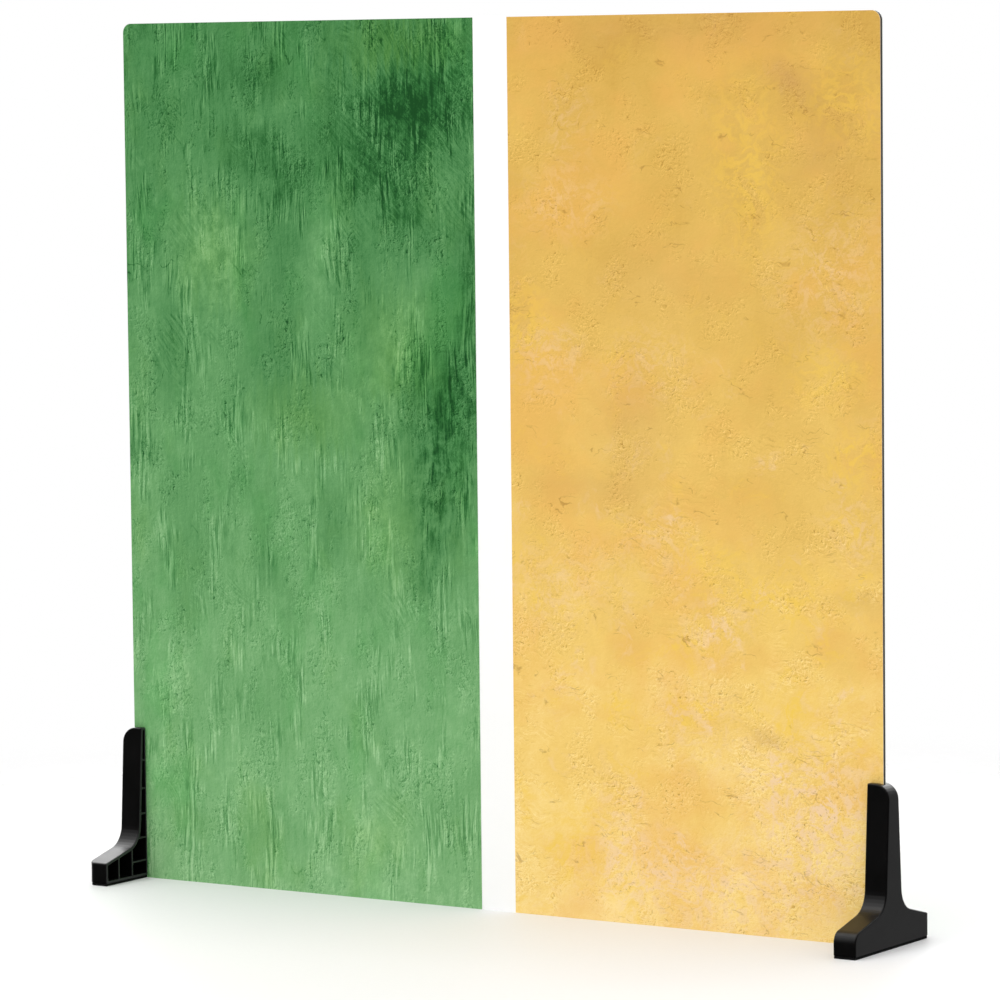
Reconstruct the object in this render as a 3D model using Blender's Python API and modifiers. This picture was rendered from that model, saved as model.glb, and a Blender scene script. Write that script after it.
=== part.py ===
"""Double-sided photo backdrop board held upright by two slotted push-on stands.

Units are metres and +Z is up. The origin lies on the table top, half-way along the board and in the
middle of its thickness. +X runs along the board and -Y is the front. The board's lower edge and the
stands' rubber pads all stand on the table top.
"""

import math

import bmesh
import bpy
from mathutils import Matrix, Vector

# Board: a composite panel 24 inches square, with a printed film over each half of each face.
BOARD_SIDE = 0.6096
BOARD_CORNER_RADIUS = 0.0064
CORE_THICKNESS = 0.0024
SKIN_THICKNESS = 0.0002
FILM_THICKNESS = 0.00012
GLUE_LINE = 0.00004
STRIP_WIDTH = 0.0275
STRIP_OFFSET = 0.005

# Stand: one moulding, used twice. Its side view is an upside-down T of heel, post and toe.
STAND_THICKNESS = 0.0165
STAND_HEIGHT = 0.1083
TOE_REACH = 0.0525
HEEL_REACH = 0.0500
FOOT_END_HEIGHT = 0.0162
FOOT_SLOPE = math.radians(14.0)
POST_HALF_DEPTH = 0.0063
POST_TAPER = math.radians(3.4)
THROAT_RADIUS = 0.016
TOE_RADIUS = 0.008
POST_TOP_RADIUS = 0.0105
HEEL_EDGE_RADIUS = 0.0060
EDGE_BREAK = 0.0008

# Hollow inner side of the stand: thin walls all round and along the slot, crossed by ribs.
WALL = 0.0018
OUTER_WALL = 0.0022
FLOOR_WALL = 0.0019
SLOT_WALL = 0.0008
RIB = 0.0012
COLUMN_RIBS = (0.0195, 0.0352)
LEVEL_RIBS = (0.0130, 0.0295, 0.0467, 0.0648, 0.0850)

# How the pieces sit together.
PAD_THICKNESS = 0.0016
PAD_INSET = 0.0004
FIT_GAP = 0.0003
ENGAGEMENT = 0.0096

# Modelling settings: facets of a rounding, what counts as the same place, and how far cutters run on.
ROUND_STEPS = 8
EDGE_BREAK_STEPS = 2
EDGE_BREAK_ANGLE = math.radians(35)
SMOOTH_ANGLE = math.radians(30)
ARC_STEP = math.radians(9)
ARC_MIN_STEPS = 3
SAME_PLACE = 1e-6
OVERSHOOT = 0.001
FAR = 1.0

# Derived from the sizes above. A stand's own X runs from the board's edge, away from the board.
LAYER_STEP = GLUE_LINE + SKIN_THICKNESS
BOARD_THICKNESS = CORE_THICKNESS + 2 * (LAYER_STEP + GLUE_LINE + FILM_THICKNESS)
BOARD_EDGE = BOARD_SIDE / 2
STAND_BOTTOM = PAD_THICKNESS
STAND_INNER_X = -ENGAGEMENT
STAND_OUTER_X = STAND_THICKNESS - ENGAGEMENT
SLOT_HALF_WIDTH = BOARD_THICKNESS / 2 + FIT_GAP

COLOURS = {
    "black_core": ((0.030, 0.028, 0.026), 0.55, 0.0),
    "white_lacquer": ((0.90, 0.90, 0.89), 0.35, 0.0),
    "green_film": ((0.13, 0.36, 0.13), 0.60, 0.0),
    "yellow_film": ((0.78, 0.52, 0.14), 0.60, 0.0),
    "black_plastic": ((0.018, 0.018, 0.019), 0.38, 0.0),
    "black_rubber": ((0.010, 0.010, 0.010), 0.85, 0.0),
}


def clear_scene():
    for obj in list(bpy.data.objects):
        bpy.data.objects.remove(obj)


def new_collection(name):
    collection = bpy.data.collections.new(name)
    bpy.context.scene.collection.children.link(collection)
    return collection


def material(name):
    """The Principled BSDF material of this name, made on first use."""
    found = bpy.data.materials.get(name)
    if found:
        return found
    colour, roughness, metallic = COLOURS[name]
    made = bpy.data.materials.new(name)
    made.use_nodes = True
    shader = made.node_tree.nodes["Principled BSDF"]
    shader.inputs["Base Color"].default_value = (*colour, 1.0)
    shader.inputs["Roughness"].default_value = roughness
    shader.inputs["Metallic"].default_value = metallic
    return made


def mesh_from(bm, name):
    bmesh.ops.recalc_face_normals(bm, faces=bm.faces)
    mesh = bpy.data.meshes.new(name)
    bm.to_mesh(mesh)
    bm.free()
    return mesh


def add_object(name, mesh, collection, finish=None):
    obj = bpy.data.objects.new(name, mesh)
    collection.objects.link(obj)
    if finish:
        mesh.materials.clear()
        mesh.materials.append(material(finish))
    return obj


def add_empty(name, collection, location=(0, 0, 0), turn=0.0):
    empty = bpy.data.objects.new(name, None)
    empty.location = location
    empty.rotation_euler.z = turn
    empty.empty_display_size = 0.03
    collection.objects.link(empty)
    return empty


def box_into(bm, low, high):
    """A box between two corners."""
    place = Matrix.Translation((low + high) / 2) @ Matrix.Diagonal((*(high - low), 1))
    bmesh.ops.create_cube(bm, size=1, matrix=place)


def round_edges(bm, at, radius):
    """Round every edge whose ends both lie where at says: a value for each axis, or None for any."""
    edges = [
        edge for edge in bm.edges
        if all(
            want is None or abs(vert.co[axis] - want) < SAME_PLACE
            for vert in edge.verts for axis, want in enumerate(at)
        )
    ]
    bmesh.ops.bevel(
        bm, geom=edges, offset=radius, offset_type="OFFSET", segments=ROUND_STEPS, profile=0.5,
        affect="EDGES", clamp_overlap=True,
    )


# ---------------------------------------------------------------- board


def panel_mesh(name, low_x, high_x, thickness):
    """A flat panel over the board's height, centred on Y, rounded where it reaches a board corner."""
    bm = bmesh.new()
    box_into(bm, Vector((low_x, -thickness / 2, 0)), Vector((high_x, thickness / 2, BOARD_SIDE)))
    for x in (-BOARD_EDGE, BOARD_EDGE):
        for z in (0, BOARD_SIDE):
            round_edges(bm, (x, None, z), BOARD_CORNER_RADIUS)
    return mesh_from(bm, name)


def build_core(collection, root):
    mesh = panel_mesh("board_core", -BOARD_EDGE, BOARD_EDGE, CORE_THICKNESS)
    core = add_object("board_core", mesh, collection, "black_core")
    core.parent = root


def build_face(side, turn, collection, root):
    """One face of the board, laid out as its front: a white skin, green film at -X, yellow film at +X."""
    face = add_empty(side + "_face", collection, turn=turn)
    face.parent = root
    strip_low = STRIP_OFFSET - STRIP_WIDTH / 2
    strip_high = STRIP_OFFSET + STRIP_WIDTH / 2
    skin_y = -(CORE_THICKNESS / 2 + GLUE_LINE + SKIN_THICKNESS / 2)
    film_y = -(BOARD_THICKNESS / 2 - FILM_THICKNESS / 2)
    layers = (
        (side + "_skin", -BOARD_EDGE, BOARD_EDGE, SKIN_THICKNESS, skin_y, "white_lacquer"),
        (side + "_film_green", -BOARD_EDGE, strip_low, FILM_THICKNESS, film_y, "green_film"),
        (side + "_film_yellow", strip_high, BOARD_EDGE, FILM_THICKNESS, film_y, "yellow_film"),
    )
    for name, low_x, high_x, thickness, y, finish in layers:
        layer = add_object(name, panel_mesh(name, low_x, high_x, thickness), collection, finish)
        layer.location.y = y
        layer.parent = face


# ---------------------------------------------------------------- stand


def offset_corners(corners, inset):
    """The corners moved inward by inset: a hollow corner's radius grows and a full one's shrinks."""
    moved = []
    count = len(corners)
    for i, (point, radius) in enumerate(corners):
        before = (point - corners[i - 1][0]).normalized()
        after = (corners[(i + 1) % count][0] - point).normalized()
        inward_before = Vector((-before.y, before.x))
        inward_after = Vector((-after.y, after.x))
        turn = before.x * after.y - before.y * after.x
        shift = (inward_before + inward_after) * inset / (1 + inward_before.dot(inward_after))
        moved.append((point + shift, max(radius - math.copysign(inset, turn), 0) if radius else 0))
    return moved


def rounded_outline(corners):
    """Points of the outline, with each corner that has a radius turned into a tangent arc."""
    points = []
    count = len(corners)
    for i, (point, radius) in enumerate(corners):
        if not radius:
            points.append(point)
            continue
        back = (corners[i - 1][0] - point).normalized()
        ahead = (corners[(i + 1) % count][0] - point).normalized()
        half = back.angle(ahead) / 2
        centre = point + (back + ahead).normalized() * radius / math.sin(half)
        start = point + back * radius / math.tan(half) - centre
        sweep = start.angle_signed(point + ahead * radius / math.tan(half) - centre)
        steps = max(ARC_MIN_STEPS, round(abs(sweep) / ARC_STEP))
        for k in range(steps + 1):
            points.append(centre + Matrix.Rotation(-sweep * k / steps, 2) @ start)
    return points


def stand_corners():
    """Corners of the side view as (Y, Z) with radii, anticlockwise: toe at -Y, heel at +Y."""
    top = STAND_HEIGHT
    drop = math.tan(FOOT_SLOPE)
    lean = math.tan(POST_TAPER)

    def throat(reach):
        """Where the sloping top of a foot meets the leaning side of the post."""
        y = (POST_HALF_DEPTH + (top - FOOT_END_HEIGHT - drop * reach) * lean) / (1 - drop * lean)
        return y, FOOT_END_HEIGHT + drop * (reach - y)

    heel_y, heel_z = throat(HEEL_REACH)
    toe_y, toe_z = throat(TOE_REACH)
    return [
        (Vector((-TOE_REACH, STAND_BOTTOM)), 0),
        (Vector((HEEL_REACH, STAND_BOTTOM)), 0),
        (Vector((HEEL_REACH, FOOT_END_HEIGHT)), 0),
        (Vector((heel_y, heel_z)), THROAT_RADIUS),
        (Vector((POST_HALF_DEPTH, top)), 0),
        (Vector((-POST_HALF_DEPTH, top)), 0),
        (Vector((-toe_y, toe_z)), THROAT_RADIUS),
        (Vector((-TOE_REACH, FOOT_END_HEIGHT)), TOE_RADIUS),
    ]


def extrude_face(bm, face, depth):
    """Sweep the face along X by depth into a closed prism."""
    grown = bmesh.ops.extrude_face_region(bm, geom=[face], use_keep_orig=True)["geom"]
    moved = [item for item in grown if isinstance(item, bmesh.types.BMVert)]
    bmesh.ops.translate(bm, vec=(depth, 0, 0), verts=moved)


def stand_blank():
    """The stand's solid outer shape."""
    bm = bmesh.new()
    outline = rounded_outline(stand_corners())
    side_view = bm.faces.new([bm.verts.new((STAND_INNER_X, y, z)) for y, z in outline])
    extrude_face(bm, side_view, STAND_THICKNESS)
    round_edges(bm, (STAND_OUTER_X, HEEL_REACH, None), HEEL_EDGE_RADIUS)
    round_edges(bm, (STAND_OUTER_X, None, STAND_HEIGHT), POST_TOP_RADIUS)
    return mesh_from(bm, "stand_blank")


def pocket_cells():
    """(low Y, high Y, low Z, high Z) of each pocket between the ribs, on both sides of the slot."""
    half = RIB / 2
    floor = STAND_BOTTOM + FLOOR_WALL
    near, far = COLUMN_RIBS
    levels = (floor - half, *LEVEL_RIBS, FAR)
    bands = [
        (SLOT_HALF_WIDTH + SLOT_WALL, near - half, low + half, high - half)
        for low, high in zip(levels, levels[1:])
    ]
    bands += [(near + half, far - half, floor, FAR), (far + half, FAR, floor, FAR)]
    cells = []
    for low_y, high_y, low_z, high_z in bands:
        cells.append((-high_y, -low_y, low_z, high_z))
        cells.append((low_y, high_y, low_z, high_z))
    return cells


def pocket_mesh():
    """The pockets as separate prisms: the inset side view, trimmed to each cell."""
    bm = bmesh.new()
    outline = rounded_outline(offset_corners(stand_corners(), WALL))
    low_x = STAND_INNER_X - OVERSHOOT
    high_x = STAND_OUTER_X - OUTER_WALL
    for low_y, high_y, low_z, high_z in pocket_cells():
        cell = bmesh.new()
        cell.faces.new([cell.verts.new((low_x, y, z)) for y, z in outline])
        for point, normal in (
            ((0, low_y, 0), (0, -1, 0)), ((0, high_y, 0), (0, 1, 0)),
            ((0, 0, low_z), (0, 0, -1)), ((0, 0, high_z), (0, 0, 1)),
        ):
            geom = cell.verts[:] + cell.edges[:] + cell.faces[:]
            bmesh.ops.bisect_plane(cell, geom=geom, plane_co=point, plane_no=normal, clear_outer=True)
        for face in list(cell.faces):
            extrude_face(cell, face, high_x - low_x)
        round_edges(cell, (high_x, HEEL_REACH - WALL, None), HEEL_EDGE_RADIUS - WALL)
        round_edges(cell, (high_x, None, STAND_HEIGHT - WALL), POST_TOP_RADIUS - WALL)
        part = bpy.data.meshes.new("cell")
        cell.to_mesh(part)
        cell.free()
        bm.from_mesh(part)
        bpy.data.meshes.remove(part)
    return mesh_from(bm, "stand_pockets")


def slot_mesh():
    """The slot for the board's edge, through the stand and its pad: closed only on the outer side."""
    bm = bmesh.new()
    low = Vector((STAND_INNER_X - OVERSHOOT, -SLOT_HALF_WIDTH, -OVERSHOOT))
    high = Vector((FIT_GAP, SLOT_HALF_WIDTH, STAND_HEIGHT + OVERSHOOT))
    box_into(bm, low, high)
    return mesh_from(bm, "stand_slot")


def pad_mesh():
    """The anti-slip pad glued under the stand, following the heel's rounded edge."""
    bm = bmesh.new()
    outer_x = STAND_OUTER_X - PAD_INSET
    heel_y = HEEL_REACH - PAD_INSET
    low = Vector((STAND_INNER_X + PAD_INSET, -TOE_REACH + PAD_INSET, 0))
    box_into(bm, low, Vector((outer_x, heel_y, PAD_THICKNESS - GLUE_LINE)))
    round_edges(bm, (outer_x, heel_y, None), HEEL_EDGE_RADIUS - PAD_INSET)
    return mesh_from(bm, "stand_pad")


def add_cut(obj, cutter):
    cut = obj.modifiers.new(cutter.name, "BOOLEAN")
    cut.operation = "DIFFERENCE"
    cut.solver = "EXACT"
    cut.object = cutter


def add_cutter(name, mesh, collection, parent):
    cutter = add_object(name, mesh, collection)
    cutter.hide_render = True
    cutter.display_type = "WIRE"
    cutter.parent = parent
    return cutter


def build_stand(side, direction, meshes, parts, cutters):
    """One stand on an empty at the board's edge; the left one is the same moulding turned half round."""
    turn = 0.0 if direction > 0 else math.pi
    slide = add_empty(side + "_stand_slide", parts, (direction * BOARD_EDGE, 0, 0), turn)
    pockets = add_cutter(side + "_stand_pockets", meshes["pockets"], cutters, slide)
    slot = add_cutter(side + "_stand_slot", meshes["slot"], cutters, slide)
    body = add_object(side + "_stand", meshes["blank"], parts, "black_plastic")
    body.parent = slide
    bevel = body.modifiers.new("edge_break", "BEVEL")
    bevel.width = EDGE_BREAK
    bevel.segments = EDGE_BREAK_STEPS
    bevel.limit_method = "ANGLE"
    bevel.angle_limit = EDGE_BREAK_ANGLE
    add_cut(body, pockets)
    add_cut(body, slot)
    pad = add_object(side + "_stand_pad", meshes["pad"], parts, "black_rubber")
    pad.parent = slide
    add_cut(pad, slot)


def main():
    clear_scene()
    parts = new_collection("backdrop_panel")
    cutters = new_collection("cutters")
    root = add_empty("board", parts)
    build_core(parts, root)
    build_face("front", 0.0, parts, root)
    build_face("rear", math.pi, parts, root)
    meshes = {"blank": stand_blank(), "pockets": pocket_mesh(), "slot": slot_mesh(), "pad": pad_mesh()}
    build_stand("left", -1, meshes, parts, cutters)
    build_stand("right", 1, meshes, parts, cutters)
    for obj in parts.objects:
        if obj.type == "MESH":
            obj.data.shade_smooth()
            obj.data.set_sharp_from_angle(angle=SMOOTH_ANGLE)


main()
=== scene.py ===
"""Looks for the double-sided photo backdrop board: its materials, the floor, the light and the camera.

Units are metres, in the CAD frame: the origin is on the floor under the middle of the board, +X runs
along the board and -Y is the front. The shapes are the CAD nodes; this script finishes their surfaces.
"""

import math

import bpy
from mathutils import Matrix, Vector


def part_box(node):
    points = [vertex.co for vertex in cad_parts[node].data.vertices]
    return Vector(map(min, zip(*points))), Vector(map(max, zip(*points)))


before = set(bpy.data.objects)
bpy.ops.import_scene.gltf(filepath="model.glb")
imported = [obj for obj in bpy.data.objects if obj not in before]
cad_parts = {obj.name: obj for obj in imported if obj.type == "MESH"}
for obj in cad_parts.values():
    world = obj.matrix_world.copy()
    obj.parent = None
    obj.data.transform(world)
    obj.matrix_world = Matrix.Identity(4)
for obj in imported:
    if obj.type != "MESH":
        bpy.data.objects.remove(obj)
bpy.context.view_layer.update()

BOARD_LOW, BOARD_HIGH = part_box("board_core")
BOARD_HEIGHT = BOARD_HIGH.z - BOARD_LOW.z
STAND_INNER_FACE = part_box("right_stand")[0].x

RIM_HIGHLIGHT_WIDTH = 0.0005  # width of the painted highlight, a greyer rim along the stands' inner edge
EDGE_RADIUS = 0.0009  # how far the stands' edges are shaded as rounded
RELIEF_SHIFT = 0.0004  # distance over which the plaster's change of height is read

# Camera: a front three-quarter view from the right, with a long lens.
CAMERA_PLACE = (1.874, -2.8705, 0.5688)
CAMERA_YAW = math.radians(33.02)
CAMERA_PITCH = math.radians(4.78)
CAMERA_ROLL = math.radians(-0.61)
CAMERA_LENS = 181.8
SENSOR_WIDTH = 36.0

# The floor fades out between these distances from its middle.
FLOOR_FADE_START = 0.40
FLOOR_FADE_END = 0.98

# What shiny surfaces reflect: (direction, cosine where it starts, cosine where it is full, strength).
REFLECTED = (
    ((-0.46, -0.54, 0.70), 0.80, 0.97, 1.3),
    ((-0.60, 0.62, 0.50), 0.50, 0.90, 4.2),
    ((0.50, 0.85, -0.05), 0.60, 0.95, 0.36),
    ((0.0, 0.0, 1.0), 0.60, 0.95, 1.2),
)
REFLECTED_ROOM = 0.02
AMBIENT = 0.66

# Lights: (name, place, the point it faces, width and height, watts).
SOFTBOXES = (
    ("overhead_softbox", (0.0, -0.4, 2.4), (0.0, -0.1, 0.0), (2.6, 2.2), 50.0),
    ("front_softbox", (-0.8, -2.4, 1.6), (0.0, 0.0, 0.3), (1.6, 1.2), 18.0),
    ("rear_softbox", (0.8, 2.4, 1.6), (0.0, 0.0, 0.3), (1.6, 1.2), 11.0),
)


def srgb(red, green, blue):
    """An 8-bit display colour as linear RGBA."""
    def linear(value):
        value /= 255
        return value / 12.92 if value <= 0.04045 else ((value + 0.055) / 1.055) ** 2.4

    return (linear(red), linear(green), linear(blue), 1.0)


class Graph:
    """A material and its node tree, with a short call for each kind of node used here."""

    def __init__(self, name):
        self.material = bpy.data.materials.new(name)
        self.material.use_nodes = True
        self.tree = self.material.node_tree
        self.shader = self.tree.nodes["Principled BSDF"]

    def put(self, socket, value):
        """Link value where it is another node's output, and set it where it is a number or a colour."""
        if isinstance(value, bpy.types.NodeSocket):
            self.tree.links.new(value, socket)
        else:
            socket.default_value = value

    def node(self, kind, values=(), **settings):
        """A new node with these settings; values maps its input names to numbers or sockets."""
        made = self.tree.nodes.new(kind)
        for name, value in settings.items():
            setattr(made, name, value)
        for name, value in dict(values).items():
            self.put(made.inputs[name], value)
        return made

    def surface(self, **values):
        """Set or link inputs of the Principled shader, named with _ for a space."""
        for name, value in values.items():
            self.put(self.shader.inputs[name.replace("_", " ")], value)

    def position(self):
        """Where the shaded point is, in the CAD frame's metres."""
        return self.node("ShaderNodeTexCoord").outputs["Object"]

    def axis(self, vector, letter):
        return self.node("ShaderNodeSeparateXYZ", {"Vector": vector}).outputs[letter]

    def math(self, operation, first, second=0.0, third=0.0, clamp=False):
        made = self.node("ShaderNodeMath", operation=operation, use_clamp=clamp)
        for socket, value in zip(made.inputs, (first, second, third)):
            self.put(socket, value)
        return made.outputs[0]

    def times(self, first, second, clamp=False):
        return self.math("MULTIPLY", first, second, clamp=clamp)

    def total(self, *terms):
        result = terms[0]
        for term in terms[1:]:
            result = self.math("ADD", result, term)
        return result

    def remap(self, value, low, high, new_low=0.0, new_high=1.0, smooth=True):
        made = self.node(
            "ShaderNodeMapRange",
            {"Value": value, "From Min": low, "From Max": high, "To Min": new_low, "To Max": new_high},
            interpolation_type="SMOOTHSTEP" if smooth else "LINEAR",
        )
        return made.outputs[0]

    def place(self, vector, stretch=(1, 1, 1), turn=0.0, shift=(0, 0, 0)):
        """The vector turned about Y, then stretched and shifted."""
        turned = self.node(
            "ShaderNodeVectorRotate", {"Vector": vector, "Angle": turn}, rotation_type="Y_AXIS"
        ).outputs[0]
        return self.node(
            "ShaderNodeMapping", {"Vector": turned, "Location": shift, "Scale": stretch}
        ).outputs[0]

    def noise(self, vector, scale, detail=2.0, roughness=0.5):
        made = self.node(
            "ShaderNodeTexNoise",
            {"Vector": vector, "Scale": scale, "Detail": detail, "Roughness": roughness},
        )
        return made.outputs["Fac"]

    def warp(self, vector, scale, amount, detail=2.0):
        """The vector pushed about by a coloured noise, by up to about half of amount each way."""
        push = self.node(
            "ShaderNodeTexNoise", {"Vector": vector, "Scale": scale, "Detail": detail}
        ).outputs["Color"]
        offset = self.vector_math("SUBTRACT", {0: push, 1: (0.5, 0.5, 0.5)})
        offset = self.vector_math("SCALE", {0: offset, "Scale": amount})
        return self.vector_math("ADD", {0: vector, 1: offset})

    def vector_math(self, operation, values):
        return self.node("ShaderNodeVectorMath", values, operation=operation).outputs[0]

    def spot(self, vector, x, z, half_width, half_height, tilt=0.0):
        """1 at the middle of a soft ellipse and 0 outside it."""
        local = self.node(
            "ShaderNodeMapping",
            {"Vector": vector, "Location": (x, 0, z), "Rotation": (0, math.radians(tilt), 0),
             "Scale": (half_width, 1, half_height)},
            vector_type="TEXTURE",
        ).outputs[0]
        return self.node("ShaderNodeTexGradient", {"Vector": local}, gradient_type="SPHERICAL").outputs["Fac"]

    def spots(self, vector, rows):
        """Sum of the rows' spots, each times its strength; the rows are patch rows, as described below."""
        result = 0.0
        for x, z, half_width, half_height, tilt, strength in rows:
            result = self.math(
                "MULTIPLY_ADD", self.spot(vector, x, z, half_width, half_height, tilt), strength, result
            )
        return result

    def ramp(self, value, stops):
        made = self.node("ShaderNodeValToRGB", {"Fac": value})
        elements = made.color_ramp.elements
        while len(elements) < len(stops):
            elements.new(0.5)
        for element, (position, colour) in zip(elements, stops):
            element.position = position
            element.color = colour
        return made.outputs["Color"]

    def mix(self, factor, first, second, blend="MIX"):
        """Two colours mixed; inputs 6 and 7 and output 2 are this node's colour sockets."""
        made = self.node("ShaderNodeMix", data_type="RGBA", blend_type=blend)
        self.put(made.inputs[0], factor)
        self.put(made.inputs[6], first)
        self.put(made.inputs[7], second)
        return made.outputs[2]

    def bump(self, height, distance, strength=1.0, normal=None):
        made = self.node("ShaderNodeBump", {"Height": height, "Distance": distance, "Strength": strength})
        if normal:
            self.put(made.inputs["Normal"], normal)
        return made.outputs[0]


# ------------------------------------------------------------ plaster films

# Tones are places along the colour stops, 0 the darkest. A strength adds to the tone, or to a tint's share.
# Patch rows are (x, z, half width, half height, tilt in degrees, strength), z up from the board's bottom.
GREEN = {
    "stops": (
        (0.00, srgb(14, 74, 26)), (0.20, srgb(40, 104, 47)), (0.40, srgb(74, 134, 76)),
        (0.60, srgb(98, 154, 95)), (0.80, srgb(122, 174, 116)), (1.00, srgb(156, 200, 146)),
    ),
    "warm_tint": srgb(166, 166, 112),
    "cool_tint": srgb(70, 158, 100),
    # top_tone to bottom_tone lightens the film towards the bottom: partly the print's own tone, partly a
    # painted reflection of the bright floor.
    "top_tone": 0.37,
    "bottom_tone": 0.84,
    "tone_patches": (
        (-0.045, 0.548, 0.050, 0.050, -25, -0.26),
        (-0.078, 0.552, 0.050, 0.026, 10, -0.22),
        (-0.092, 0.500, 0.060, 0.065, 0, -0.18),
        (-0.058, 0.470, 0.035, 0.040, 0, -0.16),
        (-0.105, 0.420, 0.040, 0.055, 0, -0.12),
        (-0.012, 0.430, 0.024, 0.090, 0, -0.24),
        (-0.018, 0.352, 0.060, 0.070, 0, -0.24),
        (-0.042, 0.300, 0.046, 0.105, 0, -0.34),
        (-0.055, 0.250, 0.028, 0.050, 0, -0.16),
        (-0.175, 0.465, 0.040, 0.050, 0, -0.13),
        (-0.185, 0.512, 0.060, 0.030, 35, -0.14),
        (-0.190, 0.575, 0.045, 0.026, 0, -0.08),
        (-0.150, 0.530, 0.200, 0.060, 0, -0.10),
        (-0.175, 0.382, 0.055, 0.060, 0, -0.12),
        (-0.265, 0.400, 0.022, 0.090, 0, -0.12),
        (-0.255, 0.240, 0.026, 0.090, 0, -0.14),
        (-0.190, 0.235, 0.018, 0.040, 0, -0.16),
        (-0.128, 0.255, 0.018, 0.035, 10, -0.18),
        (-0.210, 0.125, 0.060, 0.050, 20, -0.12),
        (-0.030, 0.065, 0.045, 0.035, 0, -0.12),
        (-0.200, 0.035, 0.100, 0.035, 0, -0.08),
        (-0.230, 0.450, 0.060, 0.060, 0, 0.20),
        (-0.190, 0.545, 0.060, 0.030, 0, 0.12),
        (-0.130, 0.455, 0.030, 0.070, 0, 0.12),
        (-0.080, 0.385, 0.050, 0.055, 0, 0.14),
        (-0.080, 0.275, 0.035, 0.070, 0, 0.10),
        (-0.265, 0.150, 0.060, 0.040, 0, 0.08),
    ),
    "warm_patches": (
        (-0.075, 0.385, 0.060, 0.060, 0, 0.45),
        (-0.150, 0.335, 0.060, 0.040, 0, 0.50),
        (-0.230, 0.450, 0.050, 0.050, 0, 0.40),
        (-0.070, 0.595, 0.080, 0.026, 0, 0.70),
        (-0.080, 0.270, 0.045, 0.070, 0, 0.35),
    ),
}
YELLOW = {
    "stops": (
        (0.00, srgb(158, 106, 34)), (0.20, srgb(196, 149, 62)), (0.40, srgb(212, 169, 80)),
        (0.60, srgb(225, 184, 94)), (0.80, srgb(239, 201, 110)), (1.00, srgb(250, 222, 152)),
    ),
    "peach_tint": srgb(233, 176, 90),
    "golden_tint": srgb(240, 200, 78),
    "cream_tint": srgb(240, 206, 164),
    "brown_tint": srgb(182, 134, 88),
    "fleck_tint": srgb(168, 118, 30),
    "crack_tint": srgb(166, 118, 44),
    # top_tone to bottom_tone lightens the film towards the bottom: partly the print's own tone, partly a
    # painted reflection of the bright floor.
    "top_tone": 0.40,
    "bottom_tone": 0.92,
    "cream_patches": (
        (0.070, 0.530, 0.024, 0.036, 0, 0.35),
        (0.062, 0.485, 0.055, 0.030, 0, 0.5),
        (0.050, 0.378, 0.040, 0.028, 0, 0.7),
        (0.130, 0.375, 0.050, 0.035, 0, 0.5),
        (0.268, 0.438, 0.055, 0.065, 30, 0.6),
        (0.285, 0.272, 0.035, 0.030, 0, 0.7),
        (0.060, 0.225, 0.070, 0.040, -15, 0.7),
        (0.135, 0.260, 0.040, 0.035, 0, 0.6),
        (0.178, 0.203, 0.045, 0.024, -15, 0.9),
        (0.168, 0.135, 0.050, 0.045, 0, 0.8),
        (0.258, 0.085, 0.075, 0.065, 30, 1.7),
        (0.100, 0.072, 0.030, 0.050, 0, 0.8),
        (0.128, 0.035, 0.070, 0.045, 0, 0.9),
        (0.200, 0.030, 0.110, 0.045, 0, 1.1),
    ),
    "gold_patches": (
        (0.205, 0.510, 0.040, 0.080, 0, 0.9),
        (0.030, 0.400, 0.030, 0.045, 0, 0.9),
        (0.265, 0.372, 0.040, 0.030, 0, 0.8),
        (0.278, 0.550, 0.045, 0.045, 0, 0.8),
        (0.175, 0.245, 0.045, 0.028, 15, 0.8),
        (0.235, 0.225, 0.070, 0.030, 0, 0.9),
        (0.285, 0.320, 0.030, 0.030, 0, 1.0),
        (0.155, 0.190, 0.060, 0.014, -17, 0.8),
        (0.062, 0.052, 0.045, 0.050, 0, 1.0),
        (0.245, 0.145, 0.060, 0.035, 10, 0.7),
    ),
    "brown_patches": (
        (0.236, 0.561, 0.034, 0.018, 25, 0.7),
        (0.262, 0.520, 0.040, 0.035, 0, 0.35),
        (0.115, 0.335, 0.045, 0.050, 0, 0.40),
        (0.085, 0.292, 0.070, 0.020, 0, 0.35),
        (0.140, 0.432, 0.070, 0.040, 0, 0.25),
        (0.216, 0.135, 0.018, 0.010, 0, 0.60),
        (0.288, 0.226, 0.030, 0.012, 0, 0.45),
        (0.150, 0.600, 0.200, 0.022, 0, 0.30),
    ),
}


def film_place(g, side):
    """Position on a face, in metres: X along the picture, Z up. Side -1 is the rear, turned half round."""
    position = g.position()
    return g.node(
        "ShaderNodeMapping", {"Vector": position, "Location": (0, 0, -BOARD_LOW.z), "Scale": (side, 0, 1)}
    ).outputs[0]


def centred(g, value, amount):
    """A 0 to 1 value as -amount / 2 to amount / 2."""
    return g.math("MULTIPLY_ADD", value, amount, -amount / 2)


def relief(g, place, stretch, turn=0.0, detail=4.0, roughness=0.68):
    """Plaster's height, and its lit and shaded sides: how much the height changes towards the light."""
    near = g.noise(g.place(place, stretch, turn), 1.0, detail, roughness)
    moved = g.place(place, (1, 1, 1), 0.0, (-RELIEF_SHIFT, 0, RELIEF_SHIFT))
    away = g.noise(g.place(moved, stretch, turn), 1.0, detail, roughness)
    return near, g.math("SUBTRACT", near, away)


def cluster(g, place, stretch, shift, low, high):
    """Where one kind of mark gathers: 1 where the noise is over high, fading to 0 where it is under low."""
    return g.remap(g.noise(g.place(place, stretch, 0.0, shift), 1.0, 4.0, 0.62), low, high)


def lines(g, place, stretch, turn, width):
    """Thin wandering lines, where a smooth noise passes its middle value."""
    level = g.noise(g.place(place, stretch, turn), 1.0, 2.5, 0.55)
    away = g.math("ABSOLUTE", g.math("SUBTRACT", level, 0.5))
    return g.remap(away, width, 0.0)


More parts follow.
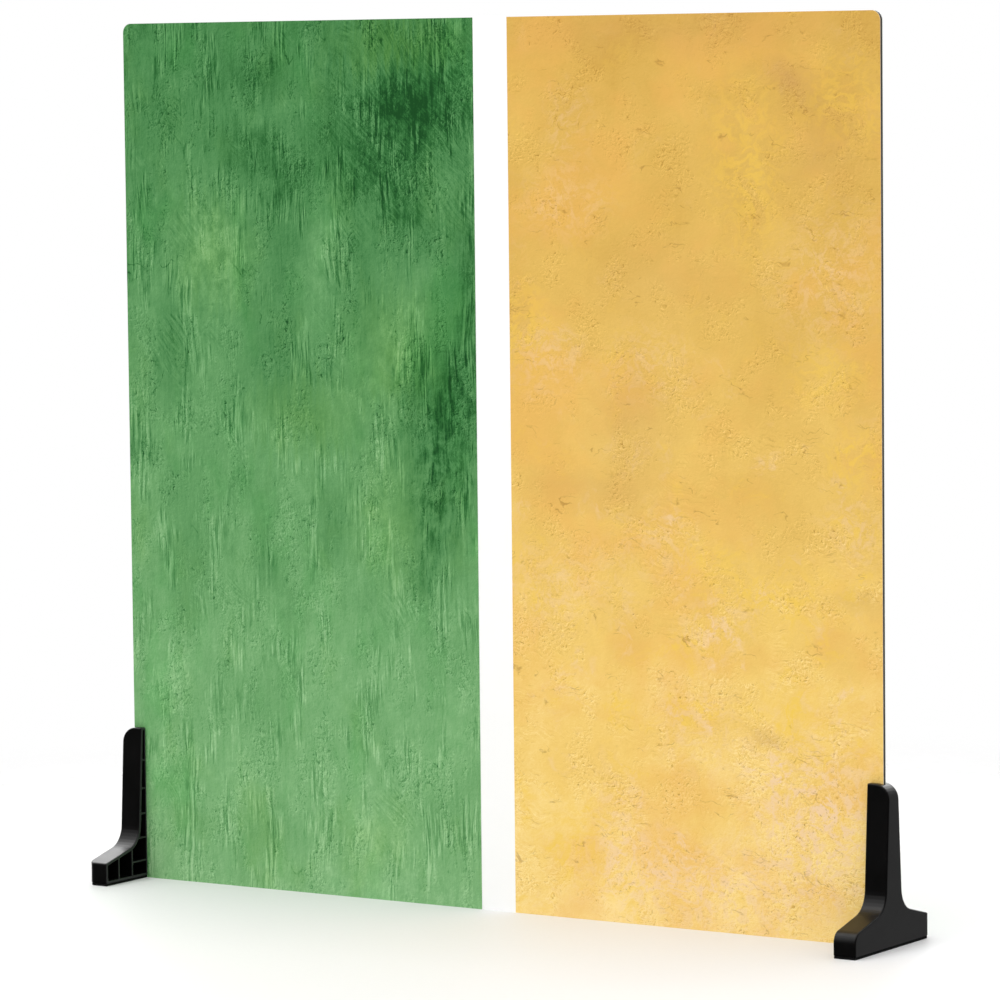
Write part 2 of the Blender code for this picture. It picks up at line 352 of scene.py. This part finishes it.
def green_plaster(side):
    """Green glaze brushed down over trowelled plaster: dark where it is thick, feathered into streaks."""
    g = Graph("green_plaster_" + ("front" if side > 0 else "rear"))
    place = film_place(g, side)
    height = g.axis(place, "Z")
    flow = g.warp(place, 9.0, 0.012, 2.0)
    feather = g.noise(g.place(flow, (240, 1, 20)), 1.0, 4.0, 0.65)
    lift = g.node("ShaderNodeCombineXYZ", {"Z": centred(g, feather, 0.090)}).outputs[0]
    brushed = g.vector_math("ADD", {0: g.warp(place, 30.0, 0.030, 6.0), 1: lift})
    mottle = g.noise(g.place(flow, (110, 1, 70)), 1.0, 5.0, 0.68)
    patches = g.spots(brushed, GREEN["tone_patches"])
    patches = g.times(patches, g.remap(mottle, 0.36, 0.62, 0.45, 1.45))
    warm_patches = g.spots(brushed, GREEN["warm_patches"])

    # Lighter towards the bottom: partly print, partly a painted reflection of the bright floor on the lower
    # film.
    gradient = g.remap(height, BOARD_HEIGHT, 0.0, GREEN["top_tone"], GREEN["bottom_tone"], smooth=False)
    clouds = centred(g, g.noise(g.place(flow, (26, 1, 15)), 1.0, 5.0, 0.66), 0.42)
    fine = centred(g, mottle, 0.34)
    broad = g.total(gradient, clouds, fine, patches)

    streaks, streak_lit = relief(g, flow, (420, 1, 34), 0.0, 4.0, 0.64)
    where = cluster(g, flow, (46, 1, 18), (3.1, 0, 1.7), 0.50, 0.60)
    depth = g.math("MINIMUM", g.total(patches, clouds), 0.0)
    streak_size = g.total(g.times(where, 0.34), g.times(depth, -0.40), 0.03)
    combed = g.times(g.remap(streaks, 0.62, 0.36, 0.45, -0.55), streak_size)
    streak_lit = g.times(streak_lit, g.times(where, 0.9))

    crumbled = cluster(g, flow, (40, 1, 24), (8.2, 0, 6.4), 0.47, 0.60)
    height_here, lit = relief(g, g.warp(place, 110.0, 0.008), (430, 1, 260), 0.35, 5.0, 0.72)
    pits = g.times(g.remap(height_here, 0.46, 0.33, 0.0, -0.42), crumbled)
    lit = g.times(lit, g.math("MULTIPLY_ADD", crumbled, 1.25, 0.60))

    bend = g.warp(place, 11.0, 0.045, 2.0)
    where_swept = cluster(g, place, (22, 1, 22), (7.3, 0, 4.1), 0.54, 0.66)
    top_right = g.spot(place, -0.045, 0.535, 0.13, 0.11)
    swept = g.math("ADD", where_swept, g.remap(top_right, 0.0, 0.6, 0.0, 0.8), clamp=True)
    strokes, stroke_lit = relief(g, bend, (480, 1, 62), 0.75, 4.0, 0.66)
    strokes = g.times(g.remap(strokes, 0.34, 0.66, -0.15, 0.13, smooth=False), swept)
    stroke_lit = g.times(stroke_lit, g.times(swept, 1.1))
    cracks = g.times(lines(g, g.warp(place, 60.0, 0.02, 4.0), (24, 1, 16), 0.3, 0.007),
                    cluster(g, place, (34, 1, 34), (1.9, 0, 5.5), 0.57, 0.66))
    cracks = g.times(cracks, -0.30)

    colour = g.ramp(
        g.total(broad, combed, streak_lit, pits, lit, strokes, stroke_lit, cracks), GREEN["stops"]
    )
    warm = cluster(g, place, (14, 1, 10), (11.0, 0, 5.0), 0.50, 0.75)
    cool = cluster(g, place, (16, 1, 9), (2.0, 0, 9.0), 0.50, 0.72)
    warm = g.math("MULTIPLY_ADD", warm, 0.35, warm_patches, clamp=True)
    colour = g.mix(warm, colour, GREEN["warm_tint"], "SOFT_LIGHT")
    colour = g.mix(g.times(cool, 0.35), colour, GREEN["cool_tint"], "SOFT_LIGHT")
    return finish_film(g, place, colour)


def yellow_plaster(side):
    """Yellow glaze rubbed over cream plaster: worn pale in places, golden in others, with small cracks."""
    g = Graph("yellow_plaster_" + ("front" if side > 0 else "rear"))
    place = film_place(g, side)
    height = g.axis(place, "Z")
    rubbed = g.warp(g.warp(place, 24.0, 0.034, 4.0), 110.0, 0.012, 5.0)
    cream_patches = g.spots(rubbed, YELLOW["cream_patches"])
    gold_patches = g.spots(rubbed, YELLOW["gold_patches"])
    brown_patches = g.spots(rubbed, YELLOW["brown_patches"])

    # Lighter towards the bottom: partly print, partly a painted reflection of the bright floor on the lower
    # film.
    gradient = g.remap(height, BOARD_HEIGHT, 0.0, YELLOW["top_tone"], YELLOW["bottom_tone"], smooth=False)
    clouds = centred(g, g.noise(rubbed, 16.0, 6.0, 0.66), 0.52)
    bend = g.warp(g.warp(place, 10.0, 0.050, 3.0), 70.0, 0.014, 4.0)
    drawn, drawn_lit = relief(g, bend, (52, 1, 400), -0.16, 5.0, 0.72)
    where_drawn = g.times(cluster(g, rubbed, (15, 1, 22), (2.3, 0, 7.7), 0.49, 0.66),
                         g.remap(height, 0.46, 0.22, 0.35, 1.0))
    dashes = g.times(g.remap(drawn, 0.41, 0.34), where_drawn)
    drawn = g.times(centred(g, drawn, 0.50), where_drawn)
    drawn_lit = g.times(drawn_lit, g.times(where_drawn, 0.9))
    crumbled = cluster(g, rubbed, (30, 1, 30), (5.1, 0, 2.7), 0.48, 0.62)
    crumbled = g.math("MULTIPLY_ADD", cream_patches, 0.45, crumbled, clamp=True)
    height_here, lit = relief(g, g.warp(place, 100.0, 0.010), (340, 1, 500), -0.35, 5.0, 0.72)
    lit = g.times(lit, g.math("MULTIPLY_ADD", crumbled, 1.55, 0.35))
    colour = g.ramp(g.total(gradient, clouds, drawn, drawn_lit, lit), YELLOW["stops"])

    blotches = g.noise(g.place(rubbed, (120, 1, 150)), 1.0, 5.0, 0.68)
    warm = cluster(g, place, (11, 1, 13), (1.0, 0, 8.0), 0.44, 0.66)
    colour = g.mix(g.times(warm, 0.45), colour, YELLOW["peach_tint"])
    low_down = g.remap(height, 0.46, 0.18, 0.15, 0.75)
    scattered = g.times(cluster(g, rubbed, (22, 1, 30), (6.0, 0, 1.0), 0.52, 0.68), low_down)
    golden = g.math("MULTIPLY_ADD", gold_patches, 0.75, scattered)
    golden = g.times(golden, g.remap(blotches, 0.56, 0.42))
    colour = g.mix(g.times(golden, 0.75, clamp=True), colour, YELLOW["golden_tint"])
    scattered = g.times(cluster(g, rubbed, (24, 1, 30), (3.0, 0, 9.0), 0.54, 0.68), low_down)
    pale = g.math("MULTIPLY_ADD", cream_patches, 0.85, scattered)
    pale = g.times(pale, g.remap(blotches, 0.45, 0.60))
    colour = g.mix(g.times(pale, 0.72, clamp=True), colour, YELLOW["cream_tint"])
    colour = g.mix(g.times(brown_patches, 0.55, clamp=True), colour, YELLOW["brown_tint"])

    flecks = g.times(g.remap(height_here, 0.44, 0.34), crumbled)
    colour = g.mix(g.times(flecks, 0.80), colour, YELLOW["fleck_tint"])
    cracks = g.times(lines(g, g.warp(place, 55.0, 0.022, 4.0), (17, 1, 66), -0.12, 0.010),
                    cluster(g, place, (30, 1, 62), (9.0, 0, 3.0), 0.54, 0.62))
    marks = g.math("MULTIPLY_ADD", dashes, 0.8, cracks, clamp=True)
    colour = g.mix(g.times(marks, 0.55), colour, YELLOW["crack_tint"])
    return finish_film(g, place, colour)


def finish_film(g, place, colour):
    """Matt laminate over the print, with a faint texture of its own."""
    sheen = g.noise(place, 120.0, 3.0)
    g.surface(
        Base_Color=colour,
        Roughness=g.remap(sheen, 0.3, 0.7, 0.52, 0.66, smooth=False),
        Normal=g.bump(g.noise(place, 2600.0, 2.0), 0.00002, 0.5),
        Specular_IOR_Level=0.25,
    )
    return g.material


# ------------------------------------------------------------ other materials


def white_lacquer():
    """Coil-coated aluminium: a satin white with a faint orange-peel surface."""
    g = Graph("white_lacquer")
    position = g.position()
    peel = g.noise(position, 420.0, 2.0)
    cloud = g.noise(position, 12.0, 3.0)
    g.surface(
        Base_Color=g.mix(cloud, srgb(250, 250, 249), srgb(254, 254, 254)),
        Roughness=g.remap(cloud, 0.3, 0.7, 0.32, 0.42, smooth=False),
        Normal=g.bump(peel, 0.00003, 0.4),
    )
    return g.material


def routed_core():
    """The core's cut edge: dark plastic with fine marks from the router running through the thickness."""
    g = Graph("routed_core")
    position = g.position()
    marks = g.noise(g.place(position, (900, 60, 900)), 1.0, 3.0)
    dust = g.remap(g.noise(position, 60.0, 4.0, 0.6), 0.5, 0.75)
    shade = g.mix(marks, srgb(52, 48, 44), srgb(74, 69, 62))
    g.surface(
        Base_Color=g.mix(g.times(dust, 0.35), shade, srgb(104, 98, 90)),
        Roughness=g.remap(marks, 0.3, 0.7, 0.50, 0.70, smooth=False),
        Normal=g.bump(marks, 0.00006, 0.6),
    )
    return g.material


def moulded_plastic():
    """Satin black ABS: fine spark-eroded grain, edges slightly rounded, and a greyer inner rim that is a
    painted highlight.
    """
    g = Graph("moulded_plastic")
    position = g.position()
    across = g.math("ABSOLUTE", g.axis(position, "X"))
    # The greyer inner rim is a painted highlight along its rounded edge.
    rim_highlight = g.remap(across, STAND_INNER_FACE + RIM_HIGHLIGHT_WIDTH, STAND_INNER_FACE + RIM_HIGHLIGHT_WIDTH / 2)
    grain = g.noise(position, 2400.0, 2.0, 0.6)
    cloud = g.noise(position, 45.0, 4.0, 0.6)
    rubbed = g.remap(g.noise(position, 130.0, 5.0, 0.7), 0.60, 0.75)
    colour = g.mix(cloud, srgb(6, 6, 6), srgb(10, 9, 9))
    colour = g.mix(g.times(rubbed, 0.3), colour, srgb(24, 23, 23))
    rounded = g.node("ShaderNodeBevel", {"Radius": EDGE_RADIUS}, samples=6).outputs[0]
    g.surface(
        # Mixes in the painted highlight's lighter grey along the inner rim.
        Base_Color=g.mix(g.times(rim_highlight, 0.8), colour, srgb(52, 53, 54)),
        Roughness=g.remap(cloud, 0.3, 0.7, 0.30, 0.40, smooth=False),
        Normal=g.bump(grain, 0.00004, 0.5, rounded),
        Specular_IOR_Level=0.28,
    )
    return g.material


def pad_rubber():
    """Dull black anti-slip strip with a fine pebbled surface and a little lint."""
    g = Graph("pad_rubber")
    position = g.position()
    pebble = g.node("ShaderNodeTexVoronoi", {"Vector": position, "Scale": 900.0}).outputs["Distance"]
    lint = g.remap(g.noise(position, 400.0, 4.0, 0.7), 0.62, 0.75)
    g.surface(
        Base_Color=g.mix(g.times(lint, 0.5), srgb(16, 17, 17), srgb(52, 52, 50)),
        Roughness=g.remap(pebble, 0.0, 0.6, 0.78, 0.92, smooth=False),
        Normal=g.bump(pebble, 0.0001, 0.6),
        Specular_IOR_Level=0.2,
    )
    return g.material


def finish_nodes():
    """Each CAD node gets its finished material."""
    plastic = moulded_plastic()
    rubber = pad_rubber()
    lacquer = white_lacquer()
    finishes = {
        "board_core": routed_core(),
        "front_skin": lacquer,
        "rear_skin": lacquer,
        "front_film_green": green_plaster(1),
        "rear_film_green": green_plaster(-1),
        "front_film_yellow": yellow_plaster(1),
        "rear_film_yellow": yellow_plaster(-1),
        "left_stand": plastic,
        "right_stand": plastic,
        "left_stand_pad": rubber,
        "right_stand_pad": rubber,
    }
    for node, finish in finishes.items():
        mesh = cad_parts[node].data
        mesh.materials.clear()
        mesh.materials.append(finish)


# ------------------------------------------------------------ stage


def make_camera():
    data = bpy.data.cameras.new("camera")
    data.lens = CAMERA_LENS
    data.sensor_width = SENSOR_WIDTH
    camera = bpy.data.objects.new("camera", data)
    camera.matrix_world = (
        Matrix.Translation(CAMERA_PLACE)
        @ Matrix.Rotation(CAMERA_YAW, 4, "Z")
        @ Matrix.Rotation(math.pi / 2 - CAMERA_PITCH, 4, "X")
        @ Matrix.Rotation(CAMERA_ROLL, 4, "Z")
    )
    bpy.context.scene.collection.objects.link(camera)
    bpy.context.scene.camera = camera


def make_floor():
    """A pale floor that fades into the white surroundings away from the object."""
    bpy.ops.mesh.primitive_circle_add(vertices=96, radius=FLOOR_FADE_END, fill_type="NGON")
    floor = bpy.context.object
    floor.name = "floor"
    g = Graph("floor")
    position = g.position()
    away = g.node("ShaderNodeVectorMath", {0: position}, operation="LENGTH").outputs["Value"]
    speck = g.noise(position, 300.0, 2.0)
    g.surface(
        Base_Color=g.mix(speck, srgb(217, 217, 217), srgb(220, 220, 220)),
        Roughness=0.6,
        Specular_IOR_Level=0.2,
        Alpha=g.remap(away, FLOOR_FADE_START, FLOOR_FADE_END, 1.0, 0.0),
    )
    floor.data.materials.append(g.material)
    floor.visible_glossy = False


def make_light(name, place, target, size, watts):
    """A soft light that brightens surfaces without showing in them; the reflections are the world's."""
    data = bpy.data.lights.new(name, "AREA")
    data.shape = "RECTANGLE"
    data.size, data.size_y = size
    data.energy = watts
    light = bpy.data.objects.new(name, data)
    light.location = place
    light.rotation_euler = (Vector(target) - light.location).to_track_quat("-Z", "Y").to_euler()
    light.visible_glossy = False
    bpy.context.scene.collection.objects.link(light)


def make_world():
    """White where the camera looks, an even ambient light, and soft boxes in a dim room for reflections."""
    world = bpy.data.worlds.new("studio")
    world.use_nodes = True
    bpy.context.scene.world = world
    tree = world.node_tree
    nodes, links = tree.nodes, tree.links

    def backdrop(strength):
        made = nodes.new("ShaderNodeBackground")
        made.inputs["Color"].default_value = (1, 1, 1, 1)
        made.inputs["Strength"].default_value = strength
        return made

    def choose(factor, usual, chosen):
        made = nodes.new("ShaderNodeMixShader")
        links.new(factor, made.inputs[0])
        links.new(usual, made.inputs[1])
        links.new(chosen, made.inputs[2])
        return made.outputs[0]

    direction = nodes.new("ShaderNodeTexCoord").outputs["Generated"]
    total = nodes.new("ShaderNodeValue").outputs[0]
    total.default_value = REFLECTED_ROOM
    for towards, start, full, strength in REFLECTED:
        cosine = nodes.new("ShaderNodeVectorMath")
        cosine.operation = "DOT_PRODUCT"
        links.new(direction, cosine.inputs[0])
        cosine.inputs[1].default_value = Vector(towards).normalized()
        glow = nodes.new("ShaderNodeMapRange")
        glow.interpolation_type = "SMOOTHSTEP"
        links.new(cosine.outputs["Value"], glow.inputs["Value"])
        glow.inputs["From Min"].default_value = start
        glow.inputs["From Max"].default_value = full
        glow.inputs["To Max"].default_value = strength
        added = nodes.new("ShaderNodeMath")
        links.new(total, added.inputs[0])
        links.new(glow.outputs[0], added.inputs[1])
        total = added.outputs[0]
    mirrored = backdrop(0.0)
    links.new(total, mirrored.inputs["Strength"])
    rays = nodes.new("ShaderNodeLightPath")
    lighting = choose(rays.outputs["Is Glossy Ray"], backdrop(AMBIENT).outputs[0], mirrored.outputs[0])
    seen = choose(rays.outputs["Is Camera Ray"], lighting, backdrop(1.0).outputs[0])
    links.new(seen, nodes["World Output"].inputs["Surface"])


def make_stage():
    make_camera()
    make_floor()
    make_world()
    for softbox in SOFTBOXES:
        make_light(*softbox)
    bpy.context.scene.view_settings.view_transform = "Standard"


make_stage()
finish_nodes()
